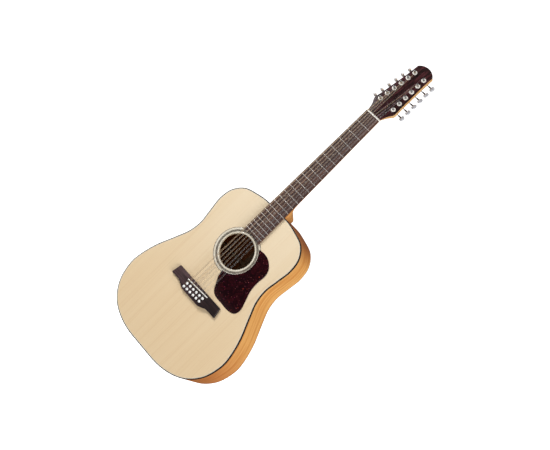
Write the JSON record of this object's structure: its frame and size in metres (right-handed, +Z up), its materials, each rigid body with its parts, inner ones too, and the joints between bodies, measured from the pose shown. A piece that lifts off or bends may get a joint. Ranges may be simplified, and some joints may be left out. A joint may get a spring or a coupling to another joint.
{
  "type": "acoustic guitar",
  "caption": "Twelve-string flat-top acoustic guitar: hollow dreadnought body, fretted neck, tilted headstock with geared tuners, pinned bridge and paired strings.",
  "frame": {"origin": "on the centre line where the nut sits on the neck, between the two prongs of a wall hanger under the headstock", "axes": "+Z up the neck to the headstock, -Y out of the soundboard, +X to the treble side"},
  "size_m": [0.4028, 0.1356, 1.0731],
  "materials": {
    "spruce_top": "satin",
    "spruce_brace": "matte",
    "mahogany_body": "satin",
    "mahogany_neck": "satin",
    "inner_wood": "matte",
    "rosewood": "matte",
    "rosewood_veneer": "satin",
    "bone": "satin",
    "tortoise": "gloss",
    "binding": "gloss",
    "tuner_button_chrome": "polished",
    "tuner_chrome": "polished",
    "rod_steel": "brushed",
    "string_bronze": "satin",
    "string_steel": "satin"
  },
  "bodies": {
    "guitar": {"back_bracing": "spruce_brace", "back_plate": "mahogany_body", "binding_back": "binding", "binding_top": "binding", "bridge": "rosewood", "bridge_plate": "inner_wood", "fretboard": "rosewood", "headstock_veneer": "rosewood_veneer", "lining_back": "inner_wood", "lining_top": "inner_wood", "neck": "mahogany_neck", "neck_block": "inner_wood", "nut": "bone", "pickguard": "tortoise", "saddle": "bone", "side_bass": "mahogany_body", "side_treble": "mahogany_body", "soundboard": "spruce_top", "string_1": "string_steel", "string_10": "string_steel", "string_11": "string_bronze", "string_12": "string_bronze", "string_2": "string_steel", "string_3": "string_steel", "string_4": "string_steel", "string_5": "string_bronze", "string_6": "string_steel", "string_7": "string_bronze", "string_8": "string_steel", "string_9": "string_bronze", "tail_block": "inner_wood", "tuner_plate_bass": "tuner_chrome", "tuner_plate_treble": "tuner_chrome", "upper_brace": "spruce_brace", "x_brace": "spruce_brace"},
    "tuner_button_bass_1": {"tuner_button_bass_1": "tuner_button_chrome"},
    "tuner_post_bass_1": {"tuner_post_bass_1": "tuner_chrome"},
    "tuner_button_bass_2": {"tuner_button_bass_2": "tuner_button_chrome"},
    "tuner_post_bass_2": {"tuner_post_bass_2": "tuner_chrome"},
    "tuner_button_bass_3": {"tuner_button_bass_3": "tuner_button_chrome"},
    "tuner_post_bass_3": {"tuner_post_bass_3": "tuner_chrome"},
    "tuner_button_bass_4": {"tuner_button_bass_4": "tuner_button_chrome"},
    "tuner_post_bass_4": {"tuner_post_bass_4": "tuner_chrome"},
    "tuner_button_bass_5": {"tuner_button_bass_5": "tuner_button_chrome"},
    "tuner_post_bass_5": {"tuner_post_bass_5": "tuner_chrome"},
    "tuner_button_bass_6": {"tuner_button_bass_6": "tuner_button_chrome"},
    "tuner_post_bass_6": {"tuner_post_bass_6": "tuner_chrome"},
    "tuner_button_treble_1": {"tuner_button_treble_1": "tuner_button_chrome"},
    "tuner_post_treble_1": {"tuner_post_treble_1": "tuner_chrome"},
    "tuner_button_treble_2": {"tuner_button_treble_2": "tuner_button_chrome"},
    "tuner_post_treble_2": {"tuner_post_treble_2": "tuner_chrome"},
    "tuner_button_treble_3": {"tuner_button_treble_3": "tuner_button_chrome"},
    "tuner_post_treble_3": {"tuner_post_treble_3": "tuner_chrome"},
    "tuner_button_treble_4": {"tuner_button_treble_4": "tuner_button_chrome"},
    "tuner_post_treble_4": {"tuner_post_treble_4": "tuner_chrome"},
    "tuner_button_treble_5": {"tuner_button_treble_5": "tuner_button_chrome"},
    "tuner_post_treble_5": {"tuner_post_treble_5": "tuner_chrome"},
    "tuner_button_treble_6": {"tuner_button_treble_6": "tuner_button_chrome"},
    "tuner_post_treble_6": {"tuner_post_treble_6": "tuner_chrome"},
    "truss_rod": {"truss_rod": "rod_steel"}
  },
  "joints": [
    {"name": "turn_button_bass_1", "type": "hinge", "parent": "guitar", "child": "tuner_button_bass_1", "pos_m": [-0.0248, 0.02874, 0.05056], "axis": [-1, 0, 0], "continuous": true},
    {"name": "wind_post_bass_1", "type": "hinge", "parent": "guitar", "child": "tuner_post_bass_1", "pos_m": [-0.0248, 0.00983, 0.04932], "axis": [0, -0.9763, 0.2164], "continuous": true},
    {"name": "turn_button_bass_2", "type": "hinge", "parent": "guitar", "child": "tuner_button_bass_2", "pos_m": [-0.02324, 0.03387, 0.0737], "axis": [-1, 0, 0], "continuous": true},
    {"name": "wind_post_bass_2", "type": "hinge", "parent": "guitar", "child": "tuner_post_bass_2", "pos_m": [-0.02324, 0.01496, 0.07246], "axis": [0, -0.9763, 0.2164], "continuous": true},
    {"name": "turn_button_bass_3", "type": "hinge", "parent": "guitar", "child": "tuner_button_bass_3", "pos_m": [-0.02168, 0.039, 0.09684], "axis": [-1, 0, 0], "continuous": true},
    {"name": "wind_post_bass_3", "type": "hinge", "parent": "guitar", "child": "tuner_post_bass_3", "pos_m": [-0.02168, 0.02009, 0.0956], "axis": [0, -0.9763, 0.2164], "continuous": true},
    {"name": "turn_button_bass_4", "type": "hinge", "parent": "guitar", "child": "tuner_button_bass_4", "pos_m": [-0.02012, 0.04413, 0.11997], "axis": [-1, 0, 0], "continuous": true},
    {"name": "wind_post_bass_4", "type": "hinge", "parent": "guitar", "child": "tuner_post_bass_4", "pos_m": [-0.02012, 0.02522, 0.11874], "axis": [0, -0.9763, 0.2164], "continuous": true},
    {"name": "turn_button_bass_5", "type": "hinge", "parent": "guitar", "child": "tuner_button_bass_5", "pos_m": [-0.01856, 0.04926, 0.14311], "axis": [-1, 0, 0], "continuous": true},
    {"name": "wind_post_bass_5", "type": "hinge", "parent": "guitar", "child": "tuner_post_bass_5", "pos_m": [-0.01856, 0.03035, 0.14188], "axis": [0, -0.9763, 0.2164], "continuous": true},
    {"name": "turn_button_bass_6", "type": "hinge", "parent": "guitar", "child": "tuner_button_bass_6", "pos_m": [-0.017, 0.05439, 0.16625], "axis": [-1, 0, 0], "continuous": true},
    {"name": "wind_post_bass_6", "type": "hinge", "parent": "guitar", "child": "tuner_post_bass_6", "pos_m": [-0.017, 0.03547, 0.16501], "axis": [0, -0.9763, 0.2164], "continuous": true},
    {"name": "turn_button_treble_1", "type": "hinge", "parent": "guitar", "child": "tuner_button_treble_1", "pos_m": [0.0248, 0.02874, 0.05056], "axis": [1, 0, 0], "continuous": true},
    {"name": "wind_post_treble_1", "type": "hinge", "parent": "guitar", "child": "tuner_post_treble_1", "pos_m": [0.0248, 0.00983, 0.04932], "axis": [0, -0.9763, 0.2164], "continuous": true},
    {"name": "turn_button_treble_2", "type": "hinge", "parent": "guitar", "child": "tuner_button_treble_2", "pos_m": [0.02324, 0.03387, 0.0737], "axis": [1, 0, 0], "continuous": true},
    {"name": "wind_post_treble_2", "type": "hinge", "parent": "guitar", "child": "tuner_post_treble_2", "pos_m": [0.02324, 0.01496, 0.07246], "axis": [0, -0.9763, 0.2164], "continuous": true},
    {"name": "turn_button_treble_3", "type": "hinge", "parent": "guitar", "child": "tuner_button_treble_3", "pos_m": [0.02168, 0.039, 0.09684], "axis": [1, 0, 0], "continuous": true},
    {"name": "wind_post_treble_3", "type": "hinge", "parent": "guitar", "child": "tuner_post_treble_3", "pos_m": [0.02168, 0.02009, 0.0956], "axis": [0, -0.9763, 0.2164], "continuous": true},
    {"name": "turn_button_treble_4", "type": "hinge", "parent": "guitar", "child": "tuner_button_treble_4", "pos_m": [0.02012, 0.04413, 0.11997], "axis": [1, 0, 0], "continuous": true},
    {"name": "wind_post_treble_4", "type": "hinge", "parent": "guitar", "child": "tuner_post_treble_4", "pos_m": [0.02012, 0.02522, 0.11874], "axis": [0, -0.9763, 0.2164], "continuous": true},
    {"name": "turn_button_treble_5", "type": "hinge", "parent": "guitar", "child": "tuner_button_treble_5", "pos_m": [0.01856, 0.04926, 0.14311], "axis": [1, 0, 0], "continuous": true},
    {"name": "wind_post_treble_5", "type": "hinge", "parent": "guitar", "child": "tuner_post_treble_5", "pos_m": [0.01856, 0.03035, 0.14188], "axis": [0, -0.9763, 0.2164], "continuous": true},
    {"name": "turn_button_treble_6", "type": "hinge", "parent": "guitar", "child": "tuner_button_treble_6", "pos_m": [0.017, 0.05439, 0.16625], "axis": [1, 0, 0], "continuous": true},
    {"name": "wind_post_treble_6", "type": "hinge", "parent": "guitar", "child": "tuner_post_treble_6", "pos_m": [0.017, 0.03547, 0.16501], "axis": [0, -0.9763, 0.2164], "continuous": true},
    {"name": "truss_rod_turn", "type": "hinge", "parent": "guitar", "child": "truss_rod", "pos_m": [0, 0.009, -0.423], "axis": [0, 0, 1], "range_deg": [-180, 180]}
  ],
  "couplings": [
    {"joint": "wind_post_bass_1", "follows": "turn_button_bass_1", "ratio": 0.07143},
    {"joint": "wind_post_bass_2", "follows": "turn_button_bass_2", "ratio": 0.07143},
    {"joint": "wind_post_bass_3", "follows": "turn_button_bass_3", "ratio": 0.07143},
    {"joint": "wind_post_bass_4", "follows": "turn_button_bass_4", "ratio": 0.07143},
    {"joint": "wind_post_bass_5", "follows": "turn_button_bass_5", "ratio": 0.07143},
    {"joint": "wind_post_bass_6", "follows": "turn_button_bass_6", "ratio": 0.07143},
    {"joint": "wind_post_treble_1", "follows": "turn_button_treble_1", "ratio": -0.07143},
    {"joint": "wind_post_treble_2", "follows": "turn_button_treble_2", "ratio": -0.07143},
    {"joint": "wind_post_treble_3", "follows": "turn_button_treble_3", "ratio": -0.07143},
    {"joint": "wind_post_treble_4", "follows": "turn_button_treble_4", "ratio": -0.07143},
    {"joint": "wind_post_treble_5", "follows": "turn_button_treble_5", "ratio": -0.07143},
    {"joint": "wind_post_treble_6", "follows": "turn_button_treble_6", "ratio": -0.07143}
  ]
}
